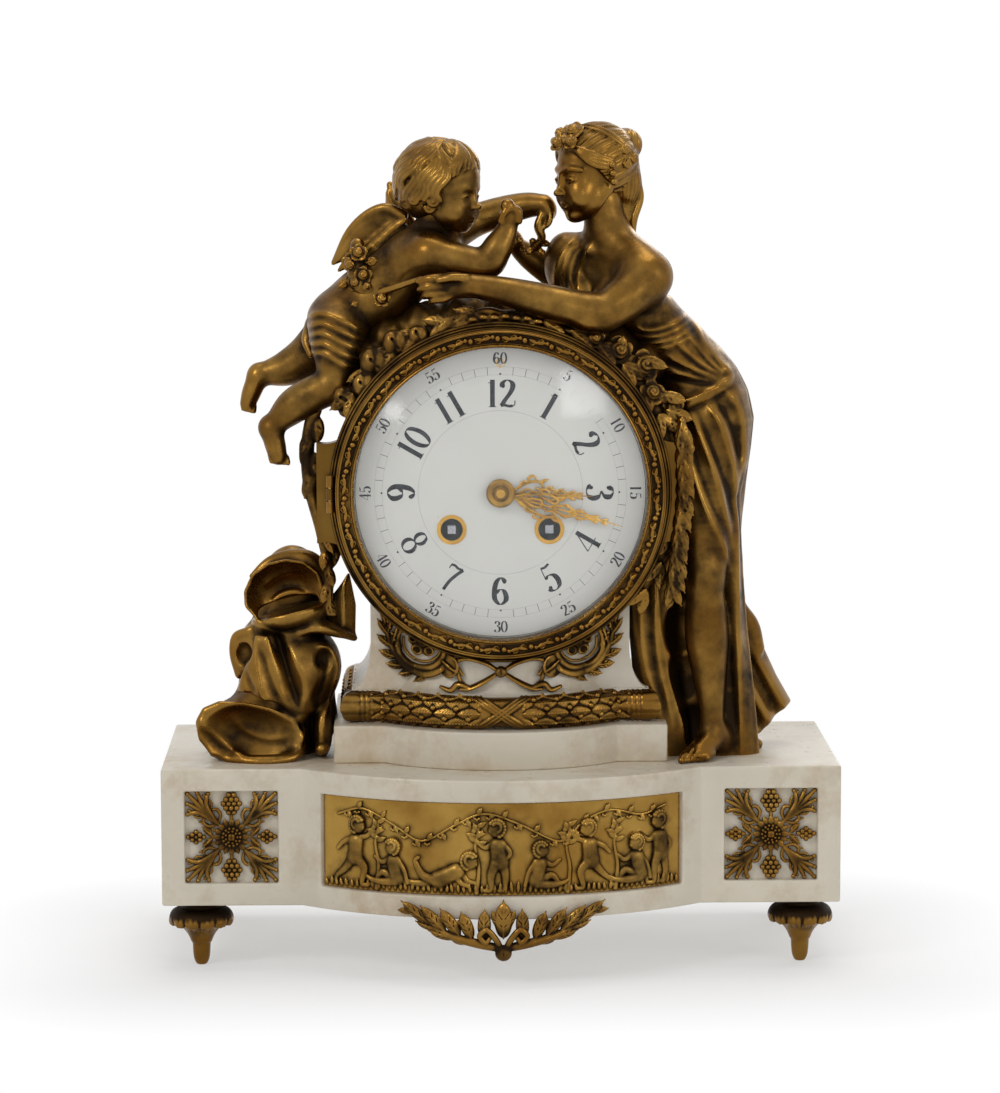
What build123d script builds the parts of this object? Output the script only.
"""Figural mantel clock: marble and gilt bronze case, two figures, striking movement with a pendulum.

Millimetres. X runs to the right, Y to the back and Z up.
The origin is on the table, under the middle of the clock.
"""
import os
from math import atan2, cos, hypot, pi, radians, sin, sqrt

from build123d import *

# Clearances
running_gap = 0.3
pivot_fit = 0.05
overrun = 6.0

# Marble base on four turned feet
base_width = 284.0
base_height = 58.0
base_depth = 114.0
bow_half_width = 83.5
bow_rise = 31.0
foot_height = 28.0
foot_radius = 13.5
foot_inset = 15.5
panel_side = 39.0
panel_depth = 3.5
panel_mount_thickness = 2.6
panel_margin = 1.0
frieze_half_width = 75.6
frieze_height = 39.0
frieze_depth = 3.0
frieze_thickness = 2.2

# Leaf mount that hangs from the middle of the base front
drop_half_width = 44.0
drop_height = 26.0
drop_lap = 9.0
drop_thickness = 4.5
drop_bud_radius = 4.0
drop_projection = 8.0

# Marble step
step_half_width = 70.0
step_setback = 12.0
step_bow_half_width = 49.0
step_bow_rise = 20.0
step_height = 16.0
step_back_inset = 14.0

# Laurel band round the pedestal foot
band_inset = 3.0
band_height = 14.0
band_round = 6.2

# Marble pedestal, with a saddle for the drum
pedestal_foot_half_width = 62.5
pedestal_neck_half_width = 54.5
pedestal_front_inset = 7.5
pedestal_back_inset = 8.0
pedestal_bow_half_width = 44.0
pedestal_bow_rise = 15.0
pedestal_cove_height = 18.0

# Swag mount under the dial
swag_half_width = 51.0
swag_height = 36.0
swag_thickness = 4.0
swag_lift = 0.5

# Drum case
drum_lift = 114.5
drum_setback = 6.3
case_radius = 66.0
case_bore = 62.5
case_length = 88.7
flange_radius = 68.2
flange_thickness = 4.0
cheek_overhang = 10.3
cheek_half_height = 21.0
cheek_shoulder_height = 32.0
cheek_thickness = 8.0
cheek_setback = 2.0

# Hinged bezel with a domed glass
bezel_radius = 68.5
bezel_depth = 8.0
glass_radius = 62.0
sight_radius = 60.8
glass_thickness = 1.8
glass_rise = 7.0
glass_setback = 2.6
hinge_pin_radius = 0.9
hinge_knuckle_radius = 1.8
hinge_knuckle_length = 5.0
hinge_offset_y = 2.0

# Dial
dial_radius = 61.5
dial_thickness = 1.5
dial_setback = 1.7
dial_plate_thickness = 1.0
dial_hole_radius = 3.7
winding_x = 20.3
winding_drop = 15.4
winding_hole_radius = 5.6
grommet_radius = 6.2
grommet_bore = 4.6
grommet_lip = 0.5
regulator_height = 54.0
regulator_hole_radius = 2.0
regulator_radius = 1.2

# Hands
hand_thickness = 0.8
hour_hand_length = 38.6
minute_hand_length = 52.8
hour_hand_angle = 92.4
minute_hand_angle = 105.6
hand_boss_radius = 5.0
hand_step = 1.6
nut_radius = 5.8
nut_height = 2.2

# Movement plates
plate_radius = 48.0
plate_thickness = 2.0
plate_gap = 38.0
dial_foot_length = 7.5
dial_foot_radius = 2.0
dial_foot_circle = 43.0
pillar_radius = 2.5
pillar_circle = 44.0
strap_radius = 1.5
strap_circle = 60.0

# Train
train_module = 0.9
barrel_teeth = 40
wheel_teeth = 32
third_teeth = 28
strike_wheel_teeth = 24
pinion_teeth = 8
wheel_thickness = 2.0
pinion_length = 4.0
arbor_radius = 1.2
barrel_radius = 16.5
barrel_length = 19.0
barrel_wall = 1.2
barrel_arbor_radius = 2.5
barrel_hook_radius = 5.0
square_side = 3.4
spring_band = 0.6
spring_turns = 4
escape_height = 27.0
escape_radius = 9.0
escape_teeth = 20
escape_thickness = 1.4
anchor_height = 40.0
pallet_gap = 1.3
pallet_width = 1.6
crutch_length = 18.0
crutch_gap = 1.6
crutch_thickness = 1.4
fork_gap = 0.5
fork_prong = 1.2

# Motion work behind the dial
motion_distance = 18.0
cannon_teeth = 12
minute_wheel_teeth = 36
minute_pinion_teeth = 10
hour_wheel_teeth = 40
cannon_radius = 2.2
hour_pipe_radius = 3.2
stud_radius = 1.2

# Striking work
fly_half_width = 5.5
fly_height = 10.0
fly_thickness = 0.6
strike_pin_radius = 0.6
strike_pin_length = 2.4
strike_pin_circle = 8.5
strike_pins = 8
count_wheel_radius = 12.0
count_wheel_thickness = 1.5
count_notch_width = 1.6
count_notch_depth = 2.0
hammer_arm_length = 21.6
hammer_arm_width = 3.0
hammer_arm_thickness = 2.0
hammer_head_radius = 4.5
hammer_head_length = 9.0
hammer_tail_length = 15.0
hammer_tail_lead = 15.0
bell_radius = 26.0
bell_depth = 12.0
bell_wall = 1.2
bell_setback = 14.0
bell_drop = 6.0
bell_hole_radius = 1.6
bell_post_radius = 1.8
bell_post_reach = 33.0
bell_arm_width = 5.0
bell_arm_thickness = 2.0
bell_nut_radius = 3.2
bell_nut_height = 1.8

# Pendulum
cock_half_width = 6.0
cock_height = 10.5
cock_depth = 10.0
cock_bottom = 47.5
suspension_half_width = 2.0
suspension_thickness = 0.4
pendulum_setback = 6.3
rod_half_width = 1.2
rod_thickness = 1.6
chops_half_width = 2.5
chops_height = 4.7
chops_thickness = 2.4
pendulum_length = 88.0
bob_radius = 12.0
bob_thickness = 7.0

# Rear door
rear_bezel_thickness = 3.0
rear_bezel_width = 9.0
rear_door_inset = 2.0
rear_door_thickness = 1.5
rear_door_dish = 2.0
knob_radius = 4.0
knob_length = 6.0

# Figures
nymph_height = 271.0
nymph_x = 88.0
nymph_y = 2.0
putto_size = 100.0
heap_height = 86.0
heap_from_end = 45.0
heap_y = 2.0
garland_radius = 7.0
limb_sides = 10

# Places worked out from the sizes above
front_y = (bow_rise + drop_projection - base_depth) / 2
back_y = front_y + base_depth
base_z = foot_height
base_top = base_z + base_height
step_top = base_top + step_height
band_top = step_top + band_height
drum_z = base_top + drum_lift
case_front = front_y + drum_setback
case_back = case_front + case_length
bezel_back = case_front - running_gap
bezel_front = bezel_back - bezel_depth
dial_front = case_front + dial_setback
dial_back = dial_front + dial_thickness
dial_plate_back = dial_back + dial_plate_thickness
front_plate_front = dial_plate_back + dial_foot_length
train_front = front_plate_front + plate_thickness
train_back = train_front + plate_gap
back_plate_back = train_back + plate_thickness
pendulum_y = back_plate_back + pendulum_setback
bell_rim_y = back_plate_back + bell_setback
wheel_pitch = wheel_teeth * train_module / 2
pinion_pitch = pinion_teeth * train_module / 2
barrel_pitch = barrel_teeth * train_module / 2
strike_pitch = strike_wheel_teeth * train_module / 2
third_pitch = third_teeth * train_module / 2

# Gear tooth proportions, as shares of the module or of one tooth's pitch
addendum_share = 0.62
dedendum_share = 1.0
tip_half_share = 0.09
root_half_share = 0.27

# Levels of the train between the plates, as shares of the gap between them
great_wheel_share = 0.09
second_wheel_share = 0.74
centre_wheel_share = 0.88
third_wheel_share = 0.30
escape_wheel_share = 0.50
pin_wheel_share = 0.20
fly_share = 0.58


def facing(y):
    """The plane of the dial moved to depth y: local x is to the right and local y is up."""
    return Plane(origin=(0, y, drum_z), x_dir=(1, 0, 0), z_dir=(0, -1, 0))


def slab(outline, front, back):
    """A flat piece between two depths, drawn on the dial's plane."""
    return extrude(facing(back) * outline, amount=back - front)


def rod(radius, front, back, at=(0, 0)):
    """A round bar along Y."""
    return slab(Pos(*at) * Circle(radius), front, back)


def turned(profile, at=(0, 0)):
    """A piece turned about an axis along Y. The profile is a list of (radius, depth)."""
    face = Plane(origin=(at[0], 0, drum_z + at[1])) * make_face(Polyline(*profile, close=True))
    return revolve(face, Axis((at[0], 0, drum_z + at[1]), (0, 1, 0)))


def outline(points):
    """A flat face from its corner points."""
    return make_face(Polyline(*points, close=True))


def mirrored(half):
    """Corner points of an outline that is the same on both sides of its middle line."""
    return half + [(-x, z) for x, z in reversed(half) if x != 0]


def scaled(shares, width, height):
    """Corner points from shares of a width and a height."""
    return [(x * width, z * height) for x, z in shares]


def bowed_plan(half_width, front, bow_half, rise, back):
    """A plan with a straight front on each side of a bowed centre."""
    edges = Line((-half_width, back), (-half_width, front))
    edges += Line((-half_width, front), (-bow_half, front))
    edges += ThreePointArc((-bow_half, front), (0, front - rise), (bow_half, front))
    edges += Line((bow_half, front), (half_width, front))
    edges += Line((half_width, front), (half_width, back))
    edges += Line((half_width, back), (-half_width, back))
    return make_face(edges)


def block(x0, x1, y0, y1, z0, z1):
    """A box between two corners."""
    size = Box(x1 - x0, y1 - y0, z1 - z0)
    return Pos((x0 + x1) / 2, (y0 + y1) / 2, (z0 + z1) / 2) * size


def limb(points, radii, across=(0, 1, 0), sides=limb_sides, level=False):
    """A tapering many-sided form through points. Each radius is (along across, square to it).

    A level limb has horizontal sections, as a standing body has.
    """
    sections = []
    last = len(points) - 1
    for i, (point, radius) in enumerate(zip(points, radii)):
        ahead = Vector(*points[min(i + 1, last)]) - Vector(*points[max(i - 1, 0)])
        along = Vector(0, 0, 1) if level else ahead.normalized()
        side = Vector(*across)
        side = (side - along * side.dot(along)).normalized()
        plane = Plane(origin=point, x_dir=side, z_dir=along)
        turns = [2 * pi * k / sides for k in range(sides)]
        ring = [(radius[0] * cos(a), radius[1] * sin(a)) for a in turns]
        sections.append(plane * outline(ring))
    return loft(sections, ruled=True)


def placed(shares, size, origin):
    """Points in space from shares of a figure's size, counted from its own origin."""
    return [tuple(o + s * size for o, s in zip(origin, share)) for share in shares]


def sized(shares, size):
    """Section radii from shares of a figure's size."""
    return [(a * size, b * size) for a, b in shares]


# Radius and middle of the arc that the base front follows
bow_radius = (bow_half_width ** 2 + bow_rise ** 2) / (2 * bow_rise)
bow_middle_y = front_y - bow_rise + bow_radius


def bow_shell(inner, outer, half_width, z0, z1):
    """A curved plate that follows the bow of the base front."""
    ring = Pos(0, bow_middle_y, z0) * (Circle(outer) - Circle(inner))
    tube = extrude(ring, amount=z1 - z0)
    front = front_y - bow_rise - drop_projection - overrun
    return tube & block(-half_width, half_width, front, front_y + overrun, z0, z1)


panel_x = (bow_half_width + base_width / 2) / 2
panel_z = base_z + base_height / 2


def marble_base():
    plan = bowed_plan(base_width / 2, front_y, bow_half_width, bow_rise, back_y)
    solid = extrude(Pos(0, 0, base_z) * plan, amount=base_height)
    half = panel_side / 2
    for x in (-panel_x, panel_x):
        back = front_y + panel_depth
        solid -= block(x - half, x + half, front_y - overrun, back, panel_z - half, panel_z + half)
    low = panel_z - frieze_height / 2
    high = panel_z + frieze_height / 2
    solid -= bow_shell(bow_radius - frieze_depth, bow_radius + overrun, frieze_half_width, low, high)
    return solid


foot_profile_shares = [
    (0, 0), (0.16, 0), (0.26, 0.07), (0.27, 0.30), (0.42, 0.46), (0.78, 0.58),
    (1.0, 0.68), (1.0, 0.76), (0.72, 0.84), (0.66, 0.90), (0.66, 1.0), (0, 1.0),
]


def feet():
    profile = scaled(foot_profile_shares, foot_radius, foot_height)
    group = Part()
    for x in (foot_inset - base_width / 2, base_width / 2 - foot_inset):
        for y in (front_y + foot_inset, back_y - foot_inset):
            face = Plane(origin=(x, y, 0), x_dir=(1, 0, 0), z_dir=(0, -1, 0)) * outline(profile)
            group += revolve(face, Axis((x, y, 0), (0, 0, 1)))
    return group


corner_leaf_shares = [
    (0.0, 0.12), (0.08, 0.26), (0.05, 0.34), (0.15, 0.42), (0.09, 0.48), (0.14, 0.57), (0.05, 0.60),
    (0.0, 0.655),
]
cluster_shares = [(0.0, 0.42, 0.055), (-0.06, 0.37, 0.065), (0.06, 0.37, 0.065), (0.0, 0.30, 0.085)]
rosette_share = 0.24
rosette_dent_share = 0.20
rosette_petals = 16


def corner_mount(x):
    """A pierced square mount: a rosette, leaves to the corners and berry clusters between them."""
    side = panel_side - panel_margin
    petals = []
    for k in range(2 * rosette_petals):
        radius = side * (rosette_share if k % 2 == 0 else rosette_dent_share)
        turn = pi * k / rosette_petals
        petals.append((radius * cos(turn), radius * sin(turn)))
    face = outline(petals)
    leaf = outline(mirrored(scaled(corner_leaf_shares, side, side)))
    for quarter in range(4):
        face += Rot(0, 0, 45 + 90 * quarter) * leaf
        for across, along, radius in cluster_shares:
            face += Rot(0, 0, 90 * quarter) * Pos(across * side, along * side) * Circle(radius * side)
    back = front_y + panel_depth
    return Pos(x, 0, panel_z - drum_z) * slab(face, back - panel_mount_thickness, back)


def frieze_plaque():
    inner = bow_radius - frieze_depth
    half = frieze_half_width - running_gap
    low = panel_z - frieze_height / 2 + running_gap
    return bow_shell(inner, inner + frieze_thickness, half, low, panel_z + frieze_height / 2 - running_gap)


drop_outline_shares = [
    (0, 0), (0.05, 0.02), (0.09, 0.12), (0.07, 0.20), (0.20, 0.22), (0.27, 0.30), (0.24, 0.38),
    (0.42, 0.34), (0.50, 0.42), (0.47, 0.50), (0.64, 0.46), (0.71, 0.55), (0.68, 0.62), (0.86, 0.60),
    (0.97, 0.72), (1.0, 0.80), (0.90, 0.86), (0.74, 0.80), (0.60, 0.86), (0.45, 0.80), (0.30, 0.90),
    (0.16, 0.86), (0.10, 0.97), (0, 1.0),
]


def acanthus_drop():
    half = [(x, z) for x, z in scaled(drop_outline_shares, drop_half_width, drop_height)]
    low = base_z + drop_lap - drop_height
    front = front_y - bow_rise - drop_projection
    leaf = Pos(0, 0, low - drum_z) * slab(outline(mirrored(half)), front, front_y)
    leaf &= bow_shell(bow_radius, bow_radius + drop_thickness, drop_half_width, low, base_z + drop_lap)
    middle = low + drop_bud_radius - drum_z
    bud = rod(drop_bud_radius, front, front_y - bow_rise, at=(0, middle))
    return leaf + bud


def step_plan(inset):
    """The step's plan drawn in by an inset on every side but the back."""
    return bowed_plan(
        step_half_width - inset, front_y + step_setback + inset, step_bow_half_width - inset / 2,
        step_bow_rise, back_y - step_back_inset - inset,
    )


def marble_step():
    return extrude(Pos(0, 0, base_top) * step_plan(0), amount=step_height)


def pedestal_plan(inset):
    front = front_y + step_setback + pedestal_front_inset
    return bowed_plan(
        pedestal_foot_half_width - inset, front + inset / 2, pedestal_bow_half_width - inset,
        pedestal_bow_rise, back_y - step_back_inset - pedestal_back_inset - inset,
    )


def laurel_band():
    slab_band = extrude(Pos(0, 0, step_top) * step_plan(band_inset), amount=band_height)
    rims = slab_band.faces().sort_by(Axis.Z)
    slab_band = fillet(rims[0].edges() + rims[-1].edges(), radius=band_round)
    return slab_band - extrude(Pos(0, 0, step_top) * pedestal_plan(0), amount=band_height)


cove_shares = [(0.0, 0.0), (0.22, 0.42), (0.50, 0.70), (0.78, 0.88), (1.0, 1.0)]


def marble_pedestal():
    taper = pedestal_foot_half_width - pedestal_neck_half_width
    sections = [Pos(0, 0, step_top) * pedestal_plan(0)]
    for rise, draw in cove_shares:
        sections.append(Pos(0, 0, band_top + rise * pedestal_cove_height) * pedestal_plan(draw * taper))
    sections.append(Pos(0, 0, drum_z - case_radius / 2) * pedestal_plan(taper))
    solid = loft(sections, ruled=True)
    solid -= rod(case_radius, case_front, back_y)
    return solid - rod(flange_radius, case_front - overrun * 2, case_front + flange_thickness)


swag_scroll_share = (0.63, 0.40, 0.27)
swag_scroll_bore_share = 0.17
swag_petal_share = 0.09
swag_stem_shares = [
    (0.0, 0.30), (0.12, 0.22), (0.34, 0.26), (0.50, 0.34), (0.46, 0.44), (0.30, 0.38), (0.0, 0.38),
]
swag_spray_shares = [
    (0.62, 0.14), (0.80, 0.18), (0.92, 0.34), (1.0, 0.58), (0.97, 0.76), (0.99, 1.0), (0.92, 0.82),
    (0.82, 0.44),
]
swag_bow_shares = [
    (0.0, 0.20), (0.22, 0.08), (0.40, 0.10), (0.36, 0.16), (0.12, 0.26), (0.30, 0.36), (0.18, 0.42),
    (0.0, 0.40),
]


def swag_mount(pedestal):
    """A pair of scrolls with flowers, tied by a bow in the middle."""
    half, tall = swag_half_width, swag_height
    x, z, radius = swag_scroll_share
    face = Sketch()
    for side in (-1, 1):
        scroll = Circle(radius * tall) - Circle(swag_scroll_bore_share * tall)
        scroll += Circle(swag_petal_share * tall)
        scroll += Rectangle(2 * radius * tall, swag_petal_share * tall / 2)
        face += Pos(side * x * half, z * tall) * scroll
        for shares in (swag_stem_shares, swag_spray_shares):
            face += outline([(side * u * half, v * tall) for u, v in shares])
    face += outline(mirrored(scaled(swag_bow_shares, half, tall)))
    front = pedestal.bounding_box().min.Y - swag_thickness
    solid = Pos(0, 0, band_top - drum_z + swag_lift) * slab(face, front, case_back)
    solid &= Pos(0, -swag_thickness, 0) * pedestal
    solid -= pedestal
    return solid - rod(bezel_radius + running_gap, front - overrun, case_front + cheek_thickness)


def cheek(side):
    """A flat cheek beside the drum, with a hollowed shoulder above and below."""
    reach, low, high = side * (case_radius + cheek_overhang), cheek_half_height, cheek_shoulder_height
    inner = side * sqrt(flange_radius ** 2 - high ** 2)
    hollow_x = (reach + 2 * inner) / 3
    hollow_z = (2 * low + high) / 3 - (high - low) / 6
    edges = Line((reach, -low), (reach, low))
    edges += ThreePointArc((reach, low), (hollow_x, hollow_z), (inner, high))
    edges += Line((inner, high), (0, high))
    edges += Line((0, high), (0, -high))
    edges += Line((0, -high), (inner, -high))
    edges += ThreePointArc((inner, -high), (hollow_x, -hollow_z), (reach, -low))
    front = case_front + cheek_setback
    return slab(make_face(edges), front, front + cheek_thickness)


bezel_hinge_x = -(bezel_radius + hinge_knuckle_radius + running_gap)
bezel_hinge_y = bezel_back - hinge_offset_y
rear_bezel_back = case_back + rear_bezel_thickness
rear_bezel_bore = case_radius - rear_bezel_width
rear_door_radius = case_radius - rear_door_inset
rear_hinge_x = rear_door_radius + hinge_knuckle_radius + running_gap
rear_hinge_y = rear_bezel_back + running_gap + rear_door_thickness


def knuckle(x, y, z0, z1):
    """One barrel of a hinge, bored for its pin."""
    tube = Circle(hinge_knuckle_radius) - Circle(hinge_pin_radius + pivot_fit)
    return extrude(Pos(x, y, drum_z + z0) * tube, amount=z1 - z0)


def pin_hole(x, y):
    """The hole that a hinge pin needs through its whole length."""
    length = 3 * hinge_knuckle_length
    hole = Pos(x, y, drum_z - length) * Circle(hinge_pin_radius + pivot_fit)
    return extrude(hole, amount=2 * length)


def drum_case():
    shell = rod(case_radius, case_front, case_back)
    shell += rod(flange_radius, case_front, case_front + flange_thickness)
    shell += cheek(-1) + cheek(1)
    shell -= rod(case_bore, case_front - overrun, case_back + overrun)
    half = hinge_knuckle_length / 2
    wide = hinge_knuckle_radius
    lug = block(
        bezel_hinge_x - wide, bezel_hinge_x + wide, bezel_hinge_y,
        case_front + cheek_setback, drum_z - half, drum_z + half,
    )
    shell += lug - pin_hole(bezel_hinge_x, bezel_hinge_y)
    return shell + knuckle(bezel_hinge_x, bezel_hinge_y, -half, half)


bezel_shares = [
    (0.0, 0.22), (0.14, 0.10), (0.22, 0.0), (0.40, 0.14), (0.62, 0.14), (0.80, 0.02), (0.92, 0.08),
    (1.0, 0.30),
    (1.0, 1.0), (0.70, 1.0),
]


def bezel_ring():
    """The moulded ring that carries the glass, with two hinge barrels on its left."""
    width = bezel_radius - sight_radius
    seat_front = bezel_front + glass_setback
    seat_back = seat_front + glass_thickness
    profile = [(sight_radius + u * width, bezel_front + v * bezel_depth) for u, v in bezel_shares]
    profile += [(glass_radius, bezel_back), (glass_radius, seat_front), (sight_radius, seat_front)]
    ring = turned(profile)
    near = hinge_knuckle_length / 2 + running_gap
    far = near + hinge_knuckle_length
    wide = hinge_knuckle_radius
    for z0, z1 in ((near, far), (-far, -near)):
        tab = block(
            bezel_hinge_x, -sight_radius - width / 2, bezel_hinge_y - wide, bezel_hinge_y + wide,
            drum_z + z0, drum_z + z1,
        )
        tab -= rod(bezel_radius - width / 2, bezel_front, case_back)
        ring += tab - pin_hole(bezel_hinge_x, bezel_hinge_y)
        ring += knuckle(bezel_hinge_x, bezel_hinge_y, z0, z1)
    clip = turned([
        (glass_radius, seat_back), (glass_radius, bezel_back), (sight_radius, bezel_back),
        (sight_radius, seat_back),
    ])
    return ring + clip


def dial_glass():
    """A domed glass held in the bezel's groove."""
    edge = bezel_front + glass_setback
    back = edge + glass_thickness
    inner = sight_radius - running_gap
    dome = (inner ** 2 + glass_rise ** 2) / (2 * glass_rise)
    middle = edge - glass_rise + dome
    shell = Pos(0, middle, drum_z) * Sphere(dome) - Pos(0, middle + glass_thickness, drum_z) * Sphere(dome)
    shell &= rod(inner, edge - glass_rise, back)
    rim = rod(glass_radius, edge, back) - rod(inner, edge - overrun, back + overrun)
    return shell + rim


winding_places = [(-winding_x, -winding_drop), (winding_x, -winding_drop)]


def dial():
    disc = rod(dial_radius, dial_front, dial_back)
    disc = chamfer(disc.edges().group_by(Axis.Y)[0], length=dial_thickness / 2)
    disc -= rod(dial_hole_radius, dial_front - overrun, dial_back + overrun)
    disc -= rod(regulator_hole_radius, dial_front - overrun, dial_back + overrun, at=(0, regulator_height))
    for at in winding_places:
        disc -= rod(winding_hole_radius, dial_front - overrun, dial_back + overrun, at=at)
    return disc


def dial_plate():
    plate = rod(case_bore - pivot_fit, dial_back, dial_plate_back)
    plate -= rod(dial_hole_radius, dial_back - overrun, dial_plate_back + overrun)
    hole = regulator_radius + pivot_fit
    plate -= rod(hole, dial_back - overrun, dial_plate_back + overrun, at=(0, regulator_height))
    for at in winding_places:
        plate -= rod(grommet_bore, dial_back - overrun, dial_plate_back + overrun, at=at)
    return plate


def winding_grommets():
    group = Part()
    for at in winding_places:
        ring = rod(winding_hole_radius, dial_front, dial_back, at=at)
        ring += rod(grommet_radius, dial_front - grommet_lip, dial_front, at=at)
        group += ring - rod(grommet_bore, dial_front - overrun, dial_back + overrun, at=at)
    return group


def turned_hand(face, angle, front):
    """A flat hand drawn pointing up, turned clockwise to its place on the dial."""
    return slab(Rot(0, 0, -angle) * face, front, front + hand_thickness)


hour_hand_shares = [
    (0.055, 0.05), (0.045, 0.18), (0.10, 0.24), (0.17, 0.34), (0.16, 0.44), (0.07, 0.52), (0.13, 0.60),
    (0.12, 0.70), (0.05, 0.78), (0.03, 0.90), (0.0, 1.0),
]
minute_hand_shares = [
    (0.04, 0.04), (0.03, 0.20), (0.08, 0.25), (0.11, 0.33), (0.08, 0.41), (0.04, 0.46), (0.075, 0.56),
    (0.06, 0.70), (0.035, 0.84), (0.0, 1.0),
]
hour_eye_shares = [(0.0, 0.25), (0.09, 0.34), (0.08, 0.43), (0.0, 0.49)]
hour_tip_shares = [(0.0, 0.57), (0.06, 0.63), (0.05, 0.69), (0.0, 0.76)]
minute_eye_shares = [(0.0, 0.26), (0.055, 0.33), (0.0, 0.41)]
minute_tip_shares = [(0.0, 0.50), (0.038, 0.57), (0.028, 0.69), (0.0, 0.80)]
hour_hand_front = dial_front - hand_step
minute_hand_front = hour_hand_front - hand_step


def pierced_hand(length, blade, eyes, angle, front, hole):
    """An openwork hand with a round boss."""
    face = Circle(hand_boss_radius) + outline(mirrored(scaled(blade, length, length)))
    for eye in eyes:
        face -= outline(mirrored(scaled(eye, length, length)))
    return turned_hand(face - Circle(hole), angle, front)


def hour_hand():
    eyes = (hour_eye_shares, hour_tip_shares)
    return pierced_hand(
        hour_hand_length, hour_hand_shares, eyes, hour_hand_angle, hour_hand_front, hour_pipe_radius,
    )


def minute_hand():
    eyes = (minute_eye_shares, minute_tip_shares)
    return pierced_hand(
        minute_hand_length, minute_hand_shares, eyes, minute_hand_angle, minute_hand_front, cannon_radius,
    )


nut_shares = [(0.0, 0.0), (0.45, 0.06), (0.80, 0.30), (1.0, 0.72), (1.0, 1.0), (0.0, 1.0)]


def hand_nut():
    front = minute_hand_front - nut_height
    profile = [(u * nut_radius, front + v * nut_height) for u, v in nut_shares]
    return turned(profile)


def tooth_ring(teeth, module, phase):
    """Outline of a toothed wheel, with one tooth at the phase angle."""
    pitch = teeth * module / 2
    tip = pitch + addendum_share * module
    root = pitch - dedendum_share * module
    turn = 2 * pi / teeth
    points = []
    for k in range(teeth):
        middle = phase + k * turn
        for radius, share in (
            (root, -root_half_share), (tip, -tip_half_share), (tip, tip_half_share), (root, root_half_share),
        ):
            angle = middle + share * turn
            points.append((radius * cos(angle), radius * sin(angle)))
    return outline(points)


def wheel(teeth, module, phase, at, middle, thickness):
    """A toothed wheel centred on a depth."""
    face = Pos(*at) * tooth_ring(teeth, module, phase)
    return slab(face, middle - thickness / 2, middle + thickness / 2)


def toward(at, other):
    """The angle from one arbor to another, where a driving wheel has a tooth at rest."""
    return atan2(other[1] - at[1], other[0] - at[0])


def meshed(at, teeth, driver):
    """Phase of a driven wheel, which has a gap where its driver has a tooth."""
    return toward(at, driver) + pi / teeth


def meeting(a, reach_a, b, reach_b, side):
    """The point at given distances from two others, on one side of the line between them."""
    span = hypot(b[0] - a[0], b[1] - a[1])
    along = (reach_a ** 2 - reach_b ** 2 + span ** 2) / (2 * span)
    off = side * sqrt(reach_a ** 2 - along ** 2)
    ux, uz = (b[0] - a[0]) / span, (b[1] - a[1]) / span
    return (a[0] + along * ux - off * uz, a[1] + along * uz + off * ux)


def polar(at, distance, angle):
    """A point at a distance and an angle from another."""
    return (at[0] + distance * cos(radians(angle)), at[1] + distance * sin(radians(angle)))


def level(share):
    """Depth of a wheel between the plates."""
    return train_front + share * plate_gap


# Where the arbors stand on the plates, seen from the front
centre_at = (0, 0)
going_at = winding_places[1]
strike_at = winding_places[0]
second_at = meeting(centre_at, wheel_pitch + pinion_pitch, going_at, barrel_pitch + pinion_pitch, 1)
escape_at = (0, escape_height)
third_at = meeting(centre_at, wheel_pitch + pinion_pitch, escape_at, third_pitch + pinion_pitch, 1)
strike_second_at = polar(strike_at, barrel_pitch + pinion_pitch, 110)
pin_wheel_at = polar(strike_second_at, strike_pitch + pinion_pitch, 95)
fly_at = polar(pin_wheel_at, strike_pitch + pinion_pitch, 50)
hammer_at = polar(centre_at, plate_radius - 3 * strap_radius - pillar_radius, 182.8)
anchor_at = (0, anchor_height)
minute_wheel_at = (0, motion_distance)
bell_at = (0, -bell_drop)
bell_post_at = polar(bell_at, bell_post_reach, -3)
pillar_angles = (-120, -60, 30, 110)
dial_foot_angles = (0, 120, 200)

cannon_module = 2 * motion_distance / (cannon_teeth + minute_wheel_teeth)
hour_module = 2 * motion_distance / (minute_pinion_teeth + hour_wheel_teeth)
train_places = [
    second_at, third_at, escape_at, strike_second_at, pin_wheel_at, fly_at, hammer_at, anchor_at, centre_at,
]


def movement_plate(front):
    """A round plate with the holes that every arbor turns in."""
    back = front + plate_thickness
    plate = rod(plate_radius, front, back)
    for at in train_places:
        plate -= rod(arbor_radius + pivot_fit, front - overrun, back + overrun, at=at)
    for at in winding_places:
        plate -= rod(barrel_arbor_radius + pivot_fit, front - overrun, back + overrun, at=at)
    return plate


def front_plate():
    stud = rod(stud_radius, dial_plate_back + running_gap, front_plate_front, at=minute_wheel_at)
    return movement_plate(front_plate_front) + stud


def back_plate():
    return movement_plate(train_back)


def plate_pillars():
    group = Part()
    for angle in pillar_angles:
        group += rod(pillar_radius, train_front, train_back, at=polar(centre_at, pillar_circle, angle))
    return group


def dial_feet():
    group = Part()
    for angle in dial_foot_angles:
        at = polar(centre_at, dial_foot_circle, angle)
        group += rod(dial_foot_radius, dial_plate_back, front_plate_front, at=at)
    return group


def case_straps():
    group = Part()
    for x in (-strap_circle, strap_circle):
        group += rod(strap_radius, dial_plate_back, case_back, at=(x, 0))
    return group


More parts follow.
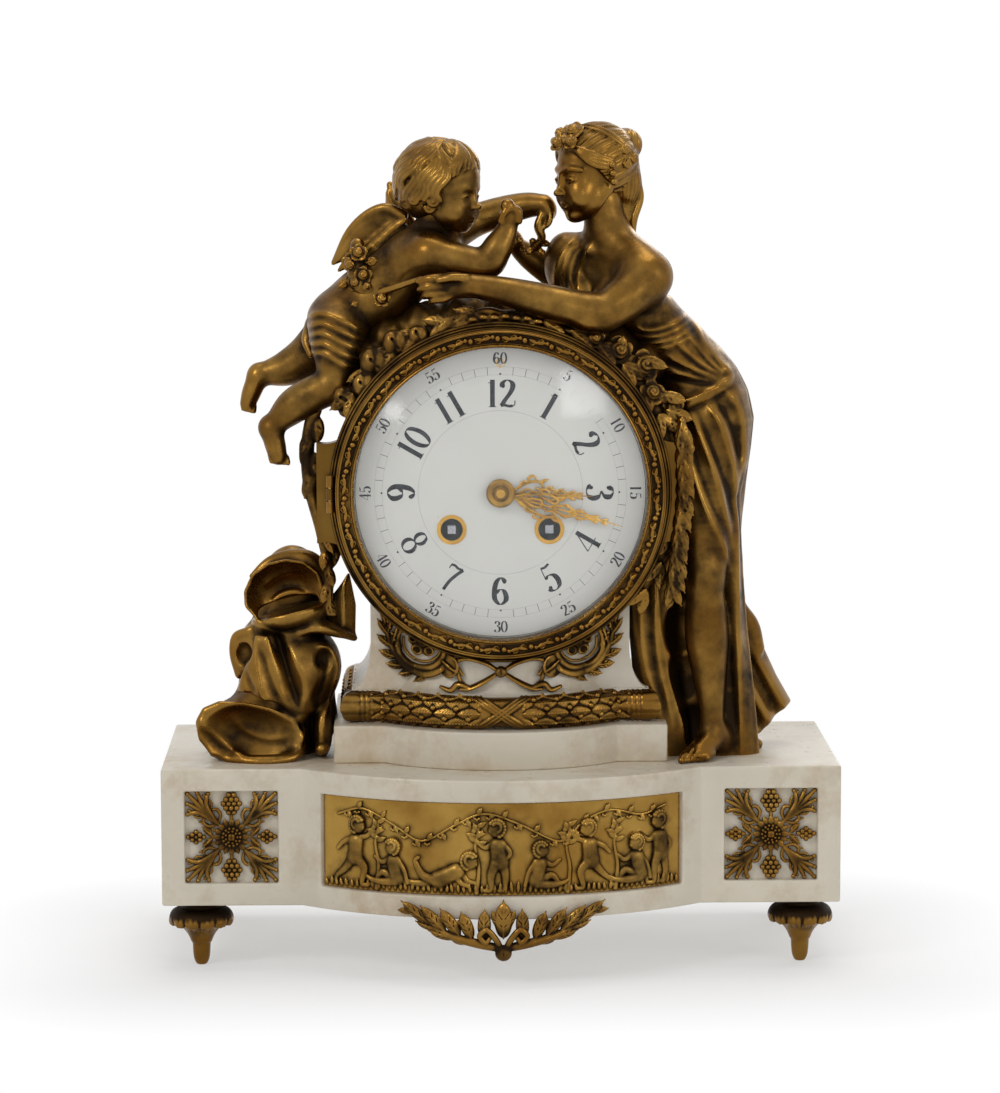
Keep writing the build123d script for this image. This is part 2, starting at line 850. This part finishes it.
def barrel(at, driven):
    """A spring barrel: a toothed rim on a hollow drum, closed by its cap and bored for the arbor."""
    middle = level(great_wheel_share)
    back = middle + wheel_thickness / 2 + barrel_length
    solid = wheel(barrel_teeth, train_module, toward(at, driven), at, middle, wheel_thickness)
    solid += rod(barrel_radius, middle, back, at=at)
    solid -= rod(barrel_radius - barrel_wall, middle + wheel_thickness / 2, back - barrel_wall, at=at)
    return solid - rod(barrel_arbor_radius + pivot_fit, middle - overrun, back + overrun, at=at)


def winding_arbor(at):
    """A barrel arbor with its winding square behind the dial hole and a core for the spring."""
    middle = level(great_wheel_share)
    solid = rod(barrel_arbor_radius, front_plate_front, back_plate_back, at=at)
    core_front = middle + wheel_thickness / 2 + running_gap
    core_back = middle + wheel_thickness / 2 + barrel_length - barrel_wall - running_gap
    solid += rod(barrel_hook_radius, core_front, core_back, at=at)
    square = Pos(*at) * Rectangle(square_side, square_side)
    return solid + slab(square, dial_front - running_gap, front_plate_front)


def mainspring(at):
    """A spiral spring in the barrel, made of half circles whose middles change sides."""
    inner = barrel_hook_radius + running_gap
    outer = barrel_radius - barrel_wall - running_gap - spring_band
    pitch = (outer - inner) / spring_turns
    lines = []
    for edge in (0, spring_band):
        radius = inner + edge
        x = at[0] + radius
        path = None
        for half in range(2 * spring_turns):
            sign = -1 if half % 2 == 0 else 1
            radius += pitch / 4
            middle = x + sign * radius
            end = x + sign * 2 * radius
            arc = ThreePointArc((x, at[1]), (middle, at[1] - sign * radius), (end, at[1]))
            path = arc if path is None else path + arc
            x = end
        lines.append((path, x))
    (inside, inside_end), (outside, outside_end) = lines
    start = at[0] + inner
    ends = Line((start, at[1]), (start + spring_band, at[1]))
    ends += Line((inside_end, at[1]), (outside_end, at[1]))
    middle = level(great_wheel_share) + wheel_thickness / 2
    front = middle + barrel_wall
    return slab(make_face(inside + outside + ends), front, middle + barrel_length - 2 * barrel_wall)


def arbor(at):
    return rod(arbor_radius, front_plate_front, back_plate_back, at=at)


def train_wheel(at, driver, pinion_share, teeth, driven, wheel_share):
    """An arbor with the pinion that its driver turns and the wheel that drives the next arbor."""
    phase = meshed(at, pinion_teeth, driver)
    solid = arbor(at) + wheel(pinion_teeth, train_module, phase, at, level(pinion_share), pinion_length)
    return solid + wheel(teeth, train_module, toward(at, driven), at, level(wheel_share), wheel_thickness)


def second_wheel():
    return train_wheel(second_at, going_at, great_wheel_share, wheel_teeth, centre_at, second_wheel_share)


def centre_wheel():
    solid = train_wheel(centre_at, second_at, second_wheel_share, wheel_teeth, third_at, centre_wheel_share)
    return solid + rod(arbor_radius, minute_hand_front, front_plate_front)


def third_wheel():
    return train_wheel(third_at, centre_at, centre_wheel_share, third_teeth, escape_at, third_wheel_share)


escape_root_share = 0.76
escape_lean_share = 0.32


def escape_wheel():
    """A wheel of raking teeth on its pinion."""
    solid = arbor(escape_at)
    phase = meshed(escape_at, pinion_teeth, third_at)
    solid += wheel(pinion_teeth, train_module, phase, escape_at, level(third_wheel_share), pinion_length)
    turn = 2 * pi / escape_teeth
    points = []
    for k in range(escape_teeth):
        root = k * turn
        tip = root + escape_lean_share * turn
        inner = escape_radius * escape_root_share
        points.append((inner * cos(root), inner * sin(root)))
        points.append((escape_radius * cos(tip), escape_radius * sin(tip)))
    middle = level(escape_wheel_share)
    face = Pos(*escape_at) * outline(points)
    return solid + slab(face, middle - escape_thickness / 2, middle + escape_thickness / 2)


def anchor():
    """The anchor with its two pallets, and the crutch that reaches the pendulum."""
    solid = arbor(anchor_at)
    drop = (escape_radius + pallet_gap) / sqrt(2)
    nib = (drop, escape_height + drop - anchor_height)
    outer = nib[0] + pallet_width
    half = [(0, pallet_width * 2), (outer, nib[1] + pallet_width), (outer, nib[1]), nib]
    half += [(nib[0] - pallet_width / 2, nib[1] + pallet_width), (0, -pallet_width)]
    middle = level(escape_wheel_share)
    face = Pos(*anchor_at) * outline(mirrored(half))
    solid += slab(face, middle - escape_thickness / 2, middle + escape_thickness / 2)
    front = back_plate_back + crutch_gap
    back = front + crutch_thickness
    solid += rod(arbor_radius, train_back, back, at=anchor_at)
    solid += rod(2 * arbor_radius, front, back, at=anchor_at)
    bar = Pos(0, anchor_height - crutch_length / 2) * Rectangle(2 * arbor_radius, crutch_length)
    solid += slab(bar, front, back)
    offset = rod_half_width + fork_gap + fork_prong / 2
    foot = Pos(0, anchor_height - crutch_length) * Rectangle(2 * offset + fork_prong, 2 * fork_prong)
    solid += slab(foot, front, back)
    for x in (-offset, offset):
        prong = Pos(x, anchor_height - crutch_length) * Rectangle(fork_prong, 2 * fork_prong)
        solid += slab(prong, back, pendulum_y + rod_thickness)
    return solid


def cannon_pinion():
    back = front_plate_front - running_gap
    solid = rod(cannon_radius, minute_hand_front, back)
    length = dial_foot_length / 3
    phase = toward(centre_at, minute_wheel_at)
    solid += wheel(cannon_teeth, cannon_module, phase, centre_at, back - length / 2, length)
    return solid - rod(arbor_radius, minute_hand_front - overrun, back + overrun)


def minute_wheel():
    """The wheel and pinion between the two hands, turning on a stud of the front plate."""
    back = front_plate_front - running_gap
    length = dial_foot_length / 3
    phase = meshed(minute_wheel_at, minute_wheel_teeth, centre_at)
    thickness = length - 2 * running_gap
    solid = wheel(minute_wheel_teeth, cannon_module, phase, minute_wheel_at, back - length / 2, thickness)
    pinion_front = dial_plate_back + 2 * running_gap
    pinion_back = back - length + running_gap
    middle = (pinion_front + pinion_back) / 2
    span = pinion_back - pinion_front
    phase = toward(minute_wheel_at, centre_at)
    solid += wheel(minute_pinion_teeth, hour_module, phase, minute_wheel_at, middle, span)
    return solid - rod(stud_radius + pivot_fit, pinion_front - overrun, back + overrun, at=minute_wheel_at)


def hour_wheel():
    """The hour wheel, whose pipe carries the hour hand through the dial."""
    length = dial_foot_length / 3
    middle = dial_plate_back + length / 2 + 2 * running_gap
    phase = meshed(centre_at, hour_wheel_teeth, minute_wheel_at)
    solid = wheel(hour_wheel_teeth, hour_module, phase, centre_at, middle, length - 2 * running_gap)
    solid += rod(hour_pipe_radius, hour_hand_front, middle)
    return solid - rod(cannon_radius + pivot_fit, hour_hand_front - overrun, middle + overrun)


def strike_second_wheel():
    solid = train_wheel(
        strike_second_at, strike_at, great_wheel_share, strike_wheel_teeth, pin_wheel_at, second_wheel_share,
    )
    back = back_plate_back + running_gap + count_wheel_thickness
    return solid + rod(arbor_radius, train_back, back, at=strike_second_at)


def count_wheel():
    """The notched wheel that counts the strokes, outside the back plate."""
    front = back_plate_back + running_gap
    face = Circle(count_wheel_radius)
    turned_so_far = 0
    notch_middle = count_wheel_radius - count_notch_depth / 2
    for stroke in range(1, 13):
        turned_so_far += 360 * stroke / 78
        notch = Rectangle(count_notch_depth * 2, count_notch_width)
        face -= Rot(0, 0, turned_so_far) * Pos(notch_middle + count_notch_depth / 2, 0) * notch
    face -= Circle(arbor_radius)
    return slab(Pos(*strike_second_at) * face, front, front + count_wheel_thickness)


def pin_wheel():
    """The wheel whose pins lift the hammer."""
    solid = train_wheel(
        pin_wheel_at, strike_second_at, second_wheel_share, strike_wheel_teeth, fly_at, pin_wheel_share,
    )
    middle = level(pin_wheel_share)
    front = middle - wheel_thickness / 2
    for k in range(strike_pins):
        at = polar(pin_wheel_at, strike_pin_circle, 360 * k / strike_pins)
        solid += rod(strike_pin_radius, front - strike_pin_length, middle, at=at)
    return solid


def strike_fly():
    """The air brake of the striking train."""
    solid = arbor(fly_at)
    phase = meshed(fly_at, pinion_teeth, pin_wheel_at)
    solid += wheel(pinion_teeth, train_module, phase, fly_at, level(pin_wheel_share), pinion_length)
    middle = level(fly_share)
    vane = Pos(*fly_at) * Rectangle(2 * fly_half_width, 2 * fly_thickness)
    return solid + slab(vane, middle - fly_height / 2, middle + fly_height / 2)


def bar_face(start, end, width):
    """A straight bar with round ends between two places on the plates."""
    length = hypot(end[0] - start[0], end[1] - start[1])
    angle = atan2(end[1] - start[1], end[0] - start[0]) * 180 / pi
    middle = ((start[0] + end[0]) / 2, (start[1] + end[1]) / 2)
    return Pos(*middle) * Rot(0, 0, angle) * Rectangle(length, width) + Pos(*start) * Circle(width / 2)


def hammer_head_at():
    """Where the hammer stands, just off the bell's rim."""
    reach = bell_radius + hammer_head_radius + 3 * running_gap
    return meeting(hammer_at, hammer_arm_length, bell_at, reach, -1)


def hammer():
    """The hammer on its arbor, with a tail for the pins and an arm behind the back plate."""
    arm_front = bell_rim_y - hammer_arm_thickness / 2
    arm_back = arm_front + hammer_arm_thickness
    head = hammer_head_at()
    solid = rod(arbor_radius, front_plate_front, arm_back, at=hammer_at)
    solid += slab(bar_face(hammer_at, head, hammer_arm_width), arm_front, arm_back)
    solid += rod(hammer_head_radius, arm_front, arm_front + hammer_head_length, at=head)
    to_pins = atan2(pin_wheel_at[1] - hammer_at[1], pin_wheel_at[0] - hammer_at[0]) * 180 / pi
    tail_end = polar(hammer_at, hammer_tail_length, to_pins + hammer_tail_lead)
    tail_back = level(pin_wheel_share) - wheel_thickness / 2 - running_gap
    tail = bar_face(hammer_at, tail_end, hammer_arm_width / 2) + Pos(*hammer_at) * Circle(hammer_arm_width)
    return solid + slab(tail, tail_back - hammer_arm_thickness, tail_back)


bell_outer_shares = [(1.0, 0.0), (0.97, 0.22), (0.86, 0.55), (0.66, 0.80), (0.36, 0.95), (0.0, 1.0)]


def bell():
    """A bowl-shaped bell whose mouth faces the back plate."""
    outer = [(u * bell_radius, bell_rim_y + v * bell_depth) for u, v in bell_outer_shares]
    inner_radius = bell_radius - bell_wall
    inner_depth = bell_depth - bell_wall
    inner = [(u * inner_radius, bell_rim_y + v * inner_depth) for u, v in reversed(bell_outer_shares)]
    bowl = turned(outer + inner, at=bell_at)
    return bowl - rod(bell_hole_radius, bell_rim_y, bell_rim_y + bell_depth + overrun, at=bell_at)


def bell_stand():
    """A post on the back plate with an arm that carries the bell past the pendulum."""
    arm_front = bell_rim_y + bell_depth
    arm_back = arm_front + bell_arm_thickness
    solid = rod(bell_post_radius, back_plate_back, arm_back, at=bell_post_at)
    arm = bar_face(bell_at, bell_post_at, bell_arm_width) + Pos(*bell_post_at) * Circle(bell_arm_width / 2)
    solid += slab(arm, arm_front, arm_back)
    nut_back = arm_front - bell_wall - running_gap
    solid += rod(bell_hole_radius - pivot_fit, nut_back - bell_nut_height, arm_front, at=bell_at)
    return solid + rod(bell_nut_radius, nut_back - bell_nut_height, nut_back, at=bell_at)


def suspension_cock():
    """The bracket on the back plate that holds the suspension spring and the regulating arbor."""
    foot_low = anchor_height + 2 * arbor_radius
    foot_high = plate_radius
    foot = Pos(0, (foot_low + foot_high) / 2) * Rectangle(2 * cock_half_width, foot_high - foot_low)
    solid = slab(foot, back_plate_back, back_plate_back + plate_thickness)
    body = Pos(0, cock_bottom + cock_height / 2) * Rectangle(2 * cock_half_width, cock_height)
    solid += slab(body, back_plate_back, back_plate_back + cock_depth)
    hole = rod(
        regulator_radius + pivot_fit, back_plate_back - overrun, back_plate_back + cock_depth + overrun,
        at=(0, regulator_height),
    )
    return solid - hole


def suspension_spring():
    """The thin strip that the pendulum bends as it swings."""
    low = anchor_height + chops_height / 4
    strip = Pos(0, (low + cock_bottom) / 2) * Rectangle(2 * suspension_half_width, cock_bottom - low)
    return slab(strip, pendulum_y - suspension_thickness / 2, pendulum_y + suspension_thickness / 2)


def pendulum_rod():
    top = anchor_height + chops_height / 6
    chops = Pos(0, top - chops_height / 2) * Rectangle(2 * chops_half_width, chops_height)
    solid = slab(chops, pendulum_y - chops_thickness / 2, pendulum_y + chops_thickness / 2)
    low = anchor_height - pendulum_length + bob_radius
    strip = Pos(0, (top + low) / 2) * Rectangle(2 * rod_half_width, top - low)
    return solid + slab(strip, pendulum_y - rod_thickness / 2, pendulum_y + rod_thickness / 2)


bob_shares = [(0.0, -0.5), (0.55, -0.44), (0.9, -0.22), (1.0, 0.0), (0.9, 0.22), (0.55, 0.44), (0.0, 0.5)]


def pendulum_bob(rod_solid):
    """A lens-shaped bob on the end of the rod."""
    profile = [(u * bob_radius, pendulum_y + v * bob_thickness) for u, v in bob_shares]
    return turned(profile, at=(0, anchor_height - pendulum_length)) - rod_solid


def regulator_arbor():
    """The arbor that sets the clock's rate, reached through the dial under the twelve."""
    at = (0, regulator_height)
    back = back_plate_back + cock_depth
    return rod(regulator_radius, dial_front + running_gap, back, at=at)


def rear_bezel():
    """The ring that closes the back of the drum, with the lug of the door's hinge."""
    ring = turned([
        (rear_bezel_bore, case_back), (case_radius, case_back), (case_radius, rear_bezel_back),
        (rear_bezel_bore, rear_bezel_back),
    ])
    half = hinge_knuckle_length / 2
    wide = hinge_knuckle_radius
    lug = block(
        rear_hinge_x - wide, rear_hinge_x + wide, case_back, rear_hinge_y, drum_z - half, drum_z + half,
    )
    lug -= rod(case_radius - wide, case_back - overrun, rear_bezel_back + overrun)
    ring += lug - pin_hole(rear_hinge_x, rear_hinge_y)
    return ring + knuckle(rear_hinge_x, rear_hinge_y, -half, half)


def rear_door():
    """A dished brass door with a knob, hinged on the right as seen from the dial."""
    front = rear_bezel_back + running_gap
    back = front + rear_door_thickness
    flat = rear_bezel_bore - rear_door_dish
    door = turned([
        (0, front + rear_door_dish), (flat - rear_door_dish, front + rear_door_dish), (flat, front),
        (rear_door_radius, front), (rear_door_radius, back), (flat, back),
        (flat - rear_door_dish, back + rear_door_dish), (0, back + rear_door_dish),
    ])
    knob_at = (3 * knob_radius - flat, 0)
    door += rod(knob_radius, front + rear_door_dish, back + rear_door_dish + knob_length, at=knob_at)
    near = hinge_knuckle_length / 2 + running_gap
    far = near + hinge_knuckle_length
    for z0, z1 in ((near, far), (-far, -near)):
        tab = block(
            rear_door_radius - 2 * hinge_knuckle_radius, rear_hinge_x, front, back + hinge_knuckle_radius / 2,
            drum_z + z0, drum_z + z1,
        )
        door += tab - pin_hole(rear_hinge_x, rear_hinge_y)
        door += knuckle(rear_hinge_x, rear_hinge_y, z0, z1)
    return door


def hinge_pins():
    group = Part()
    half = 1.5 * hinge_knuckle_length + running_gap
    for x, y in ((bezel_hinge_x, bezel_hinge_y), (rear_hinge_x, rear_hinge_y)):
        group += extrude(Pos(x, y, drum_z - half) * Circle(hinge_pin_radius), amount=2 * half)
    return group


# The nymph from the hem up: places and section radii as shares of its height, from its standing place
nymph_body_shares = [
    (0.011, 0.018, 0.0), (0.0, 0.02, 0.16), (-0.018, 0.015, 0.30), (-0.004, 0.018, 0.445),
    (-0.006, 0.018, 0.555),
    (-0.046, 0.012, 0.625), (-0.082, 0.008, 0.673), (-0.118, 0.004, 0.73), (-0.140, 0.004, 0.765),
    (-0.153, 0.002, 0.795), (-0.160, 0.0, 0.845),
]
nymph_body_radius_shares = [
    (0.078, 0.080), (0.072, 0.077), (0.070, 0.072), (0.078, 0.077), (0.076, 0.075), (0.068, 0.070),
    (0.058, 0.062),
    (0.072, 0.062), (0.074, 0.052), (0.032, 0.028), (0.024, 0.024),
]
nymph_head_shares = [
    (-0.166, 0.0, 0.835), (-0.172, 0.0, 0.858), (-0.176, 0.0, 0.885), (-0.174, 0.002, 0.915),
    (-0.168, 0.004, 0.945),
    (-0.165, 0.004, 0.968),
]
nymph_head_radius_shares = [
    (0.030, 0.036), (0.046, 0.058), (0.054, 0.070), (0.056, 0.074), (0.046, 0.062), (0.020, 0.028),
]
nymph_flower_shares = [
    (-0.228, -0.004, 0.925), (-0.225, -0.004, 0.955), (-0.220, -0.004, 0.985), (-0.216, -0.004, 1.0),
]
nymph_flower_radius_shares = [(0.020, 0.016), (0.036, 0.028), (0.032, 0.028), (0.014, 0.014)]
nymph_leg_shares = [
    (-0.028, -0.045, 0.44), (-0.020, -0.070, 0.27), (-0.002, -0.057, 0.15), (0.004, -0.060, 0.055),
    (0.006, -0.062, 0.0),
]
nymph_leg_radius_shares = [(0.045, 0.045), (0.036, 0.035), (0.031, 0.031), (0.019, 0.019), (0.024, 0.020)]
nymph_foot_shares = [(0.018, -0.045, 0.014), (-0.006, -0.080, 0.014), (-0.030, -0.112, 0.006)]
nymph_foot_radius_shares = [(0.020, 0.020), (0.020, 0.022), (0.010, 0.016)]
nymph_flap_shares = [(0.03, 0.33), (0.06, 0.25), (0.078, 0.165), (0.153, 0.043), (0.112, 0.0), (0.03, 0.0)]
nymph_flap_depth_shares = (0.060, 0.118)
nymph_arm_shares = [
    (-0.100, -0.055, 0.745), (-0.150, -0.088, 0.712), (-0.190, -0.101, 0.690), (-0.279, -0.108, 0.717),
    (-0.370, -0.101, 0.738), (-0.420, -0.094, 0.741), (-0.446, -0.088, 0.734),
]
nymph_arm_radius_shares = [
    (0.034, 0.034), (0.028, 0.029), (0.026, 0.030), (0.022, 0.022), (0.016, 0.016), (0.014, 0.019),
    (0.008, 0.012),
]
nymph_far_arm_shares = [
    (-0.160, 0.055, 0.755), (-0.236, 0.092, 0.752), (-0.284, 0.090, 0.782), (-0.306, 0.076, 0.802),
]
nymph_far_arm_radius_shares = [(0.034, 0.034), (0.024, 0.024), (0.016, 0.016), (0.014, 0.014)]
nymph_origin = (nymph_x, nymph_y, base_top)


def nymph_form(places, radii, **options):
    return limb(placed(places, nymph_height, nymph_origin), sized(radii, nymph_height), **options)


def nymph():
    """A standing draped figure beside the drum."""
    solid = nymph_form(nymph_body_shares, nymph_body_radius_shares, level=True)
    solid += nymph_form(nymph_head_shares, nymph_head_radius_shares, level=True)
    solid += nymph_form(nymph_flower_shares, nymph_flower_radius_shares, level=True)
    solid += nymph_form(nymph_leg_shares, nymph_leg_radius_shares, level=True)
    solid += nymph_form(nymph_foot_shares, nymph_foot_radius_shares, across=(0, 0, 1))
    flap = [(nymph_x + u * nymph_height, v * nymph_height) for u, v in nymph_flap_shares]
    near, far = nymph_flap_depth_shares
    drape = slab(outline(flap), nymph_y + near * nymph_height, nymph_y + far * nymph_height)
    return solid + Pos(0, 0, base_top - drum_z) * drape


def nymph_near_arm():
    return nymph_form(nymph_arm_shares, nymph_arm_radius_shares)


def nymph_far_arm():
    return nymph_form(nymph_far_arm_shares, nymph_far_arm_radius_shares)


# The putto: places and section radii as shares of the figure's size, from the middle of the drum
putto_torso_shares = [
    (-0.700, 0.03, 0.700), (-0.600, 0.03, 0.760), (-0.470, 0.03, 0.820), (-0.330, 0.01, 0.915),
    (-0.275, 0.0, 1.020),
    (-0.260, -0.005, 1.090),
]
putto_torso_radius_shares = [
    (0.10, 0.09), (0.145, 0.135), (0.145, 0.135), (0.155, 0.115), (0.09, 0.08), (0.06, 0.06),
]
putto_head_shares = [
    (-0.235, -0.02, 1.080), (-0.240, -0.02, 1.140), (-0.245, -0.02, 1.220), (-0.250, -0.02, 1.310),
    (-0.250, -0.02, 1.390), (-0.245, -0.02, 1.430),
]
putto_head_radius_shares = [
    (0.08, 0.08), (0.14, 0.155), (0.17, 0.19), (0.175, 0.195), (0.13, 0.15), (0.06, 0.07),
]
putto_arm_shares = [
    (-0.300, -0.11, 0.975), (-0.150, -0.175, 0.930), (-0.035, -0.190, 0.905), (0.020, -0.178, 1.020),
    (0.050, -0.170, 1.110), (0.055, -0.170, 1.175),
]
putto_arm_radius_shares = [
    (0.075, 0.075), (0.066, 0.066), (0.055, 0.060), (0.048, 0.048), (0.040, 0.040), (0.040, 0.040),
]
putto_far_arm_shares = [
    (-0.270, 0.06, 0.990), (-0.180, 0.13, 1.045), (-0.080, 0.17, 1.100), (0.040, 0.17, 1.140),
    (0.180, 0.11, 1.165),
]
putto_far_arm_radius_shares = [(0.07, 0.07), (0.06, 0.06), (0.055, 0.055), (0.048, 0.048), (0.035, 0.035)]
putto_leg_shares = [
    (-0.600, -0.060, 0.740), (-0.640, -0.120, 0.580), (-0.665, -0.145, 0.440), (-0.790, -0.130, 0.355),
    (-0.890, -0.120, 0.290), (-0.930, -0.135, 0.200), (-0.952, -0.150, 0.130),
]
putto_leg_radius_shares = [
    (0.10, 0.11), (0.11, 0.11), (0.085, 0.10), (0.075, 0.075), (0.045, 0.045), (0.045, 0.045),
    (0.025, 0.030),
]
putto_far_leg_shares = [
    (-0.640, 0.10, 0.700), (-0.730, 0.13, 0.590), (-0.860, 0.13, 0.505), (-0.990, 0.13, 0.455),
    (-1.060, 0.11, 0.300),
]
putto_far_leg_radius_shares = [(0.11, 0.11), (0.10, 0.10), (0.075, 0.075), (0.045, 0.045), (0.030, 0.030)]
putto_wing_shares = [
    (-0.330, 0.98), (-0.370, 1.12), (-0.430, 1.17), (-0.520, 1.14), (-0.610, 1.05), (-0.690, 0.94),
    (-0.685, 0.905),
    (-0.630, 0.95), (-0.570, 0.945), (-0.480, 0.90),
]
putto_wing_depth_shares = [(0.02, 0.07), (0.11, 0.16)]


def putto_origin():
    return (0, case_front + case_length / 3, drum_z)


def putto_form(places, radii, **options):
    return limb(placed(places, putto_size, putto_origin()), sized(radii, putto_size), **options)


def putto():
    """A winged child who leans over the top of the drum from the left."""
    solid = putto_form(putto_torso_shares, putto_torso_radius_shares)
    solid += putto_form(putto_head_shares, putto_head_radius_shares, level=True)
    solid += putto_form(putto_arm_shares, putto_arm_radius_shares)
    solid += putto_form(putto_far_arm_shares, putto_far_arm_radius_shares)
    solid += putto_form(putto_leg_shares, putto_leg_radius_shares)
    solid += putto_form(putto_far_leg_shares, putto_far_leg_radius_shares)
    wing = outline([(u * putto_size, v * putto_size) for u, v in putto_wing_shares])
    middle = putto_origin()[1]
    for near, far in putto_wing_depth_shares:
        solid += slab(wing, middle + near * putto_size, middle + far * putto_size)
    return solid


# Garland along the drum: angle on the dial and thickness as a share of its radius
garland_turns = [150, 141, 131, 121, 110, 98, 86, 74, 62, 50, 38, 26, 14, 2, -10, -22, -32, -42]
garland_thickness_shares = [
    0.5, 0.95, 1.1, 0.95, 0.75, 0.85, 0.75, 0.8, 0.75, 0.95, 0.9, 1.0, 0.9, 1.05, 0.95, 0.9, 0.65, 0.3,
]
garland_bed_turns = [152, 140, 128, 116, 104, 92, 80, 68]
garland_bed_shares = [0.7, 1.3, 1.5, 1.6, 1.5, 1.2, 0.9, 0.5]
garland_depth_share = 0.11
garland_bed_depth_share = 0.28
garland_sides = 7


def flower_chain(turns, thickness_shares, depth_share):
    """A bumpy rope of flowers laid along the drum at one depth."""
    depth = case_front + case_length * depth_share
    points = []
    radii = []
    for turn, share in zip(turns, thickness_shares):
        radius = garland_radius * share
        x, z = polar(centre_at, case_radius + radius * sqrt(share) / 2, turn)
        points.append((x, depth, drum_z + z))
        radii.append((radius, radius))
    return limb(points, radii, sides=garland_sides)


def garland():
    front = flower_chain(garland_turns, garland_thickness_shares, garland_depth_share)
    return front + flower_chain(garland_bed_turns, garland_bed_shares, garland_bed_depth_share)


# Fallen drapery on the left of the base: places and radii as shares of its height
heap_shares = [
    (-0.03, 0.0, 0.0), (-0.04, 0.0, 0.18), (0.0, 0.02, 0.29), (0.07, 0.03, 0.36), (0.10, 0.03, 0.52),
    (0.09, 0.02, 0.68),
    (0.06, 0.02, 0.80), (0.09, 0.02, 0.93), (0.14, 0.02, 1.0),
]
heap_radius_shares = [
    (0.25, 0.33), (0.24, 0.33), (0.22, 0.26), (0.22, 0.26), (0.24, 0.29), (0.20, 0.25), (0.19, 0.24),
    (0.16, 0.18),
    (0.08, 0.08),
]


def drapery_heap():
    """Cloth fallen in a heap on the base and against the drum."""
    origin = (heap_from_end - base_width / 2, heap_y, base_top)
    return limb(placed(heap_shares, heap_height, origin), sized(heap_radius_shares, heap_height), level=True)


def save(name, solid):
    export_step(solid, os.path.join("parts", name + ".step"))


def main():
    os.makedirs("parts", exist_ok=True)
    nodes = {
        "marble_base": marble_base(), "marble_step": marble_step(), "marble_pedestal": marble_pedestal(),
        "feet": feet(), "corner_mount_left": corner_mount(-panel_x),
        "corner_mount_right": corner_mount(panel_x),
        "frieze_plaque": frieze_plaque(), "acanthus_drop": acanthus_drop(), "laurel_band": laurel_band(),
        "drum_case": drum_case(), "bezel_ring": bezel_ring(), "dial_glass": dial_glass(), "dial": dial(),
        "dial_plate": dial_plate(), "winding_grommets": winding_grommets(), "hour_hand": hour_hand(),
        "minute_hand": minute_hand(), "hand_nut": hand_nut(), "front_plate": front_plate(),
        "back_plate": back_plate(),
        "plate_pillars": plate_pillars(), "dial_feet": dial_feet(), "case_straps": case_straps(),
        "going_barrel": barrel(going_at, second_at), "going_arbor": winding_arbor(going_at),
        "going_mainspring": mainspring(going_at), "second_wheel": second_wheel(), "centre_wheel": centre_wheel(),
        "third_wheel": third_wheel(), "escape_wheel": escape_wheel(), "anchor": anchor(),
        "cannon_pinion": cannon_pinion(), "minute_wheel": minute_wheel(), "hour_wheel": hour_wheel(),
        "strike_barrel": barrel(strike_at, strike_second_at), "strike_arbor": winding_arbor(strike_at),
        "strike_mainspring": mainspring(strike_at), "strike_second_wheel": strike_second_wheel(),
        "count_wheel": count_wheel(), "pin_wheel": pin_wheel(), "strike_fly": strike_fly(), "hammer": hammer(),
        "bell": bell(), "bell_stand": bell_stand(), "suspension_cock": suspension_cock(),
        "suspension_spring": suspension_spring(), "pendulum_rod": pendulum_rod(),
        "regulator_arbor": regulator_arbor(), "rear_bezel": rear_bezel(), "rear_door": rear_door(),
        "hinge_pins": hinge_pins(),
    }
    nodes["swag_mount"] = swag_mount(nodes["marble_pedestal"])
    nodes["pendulum_bob"] = pendulum_bob(nodes["pendulum_rod"])
    settled = ("marble_base", "marble_step", "marble_pedestal", "laurel_band", "drum_case")
    carriers = [nodes[name] for name in settled]
    sculpture = [
        ("nymph", nymph()), ("nymph_near_arm", nymph_near_arm()), ("nymph_far_arm", nymph_far_arm()),
        ("putto", putto()), ("garland", garland()), ("drapery_heap", drapery_heap()),
    ]
    bore = rod(case_bore + running_gap, case_front, case_back)
    for name, solid in sculpture:
        for neighbour in carriers:
            solid -= neighbour
        nodes[name] = solid - bore
        carriers.append(nodes[name])
    for name, solid in nodes.items():
        save(name, solid)


main()
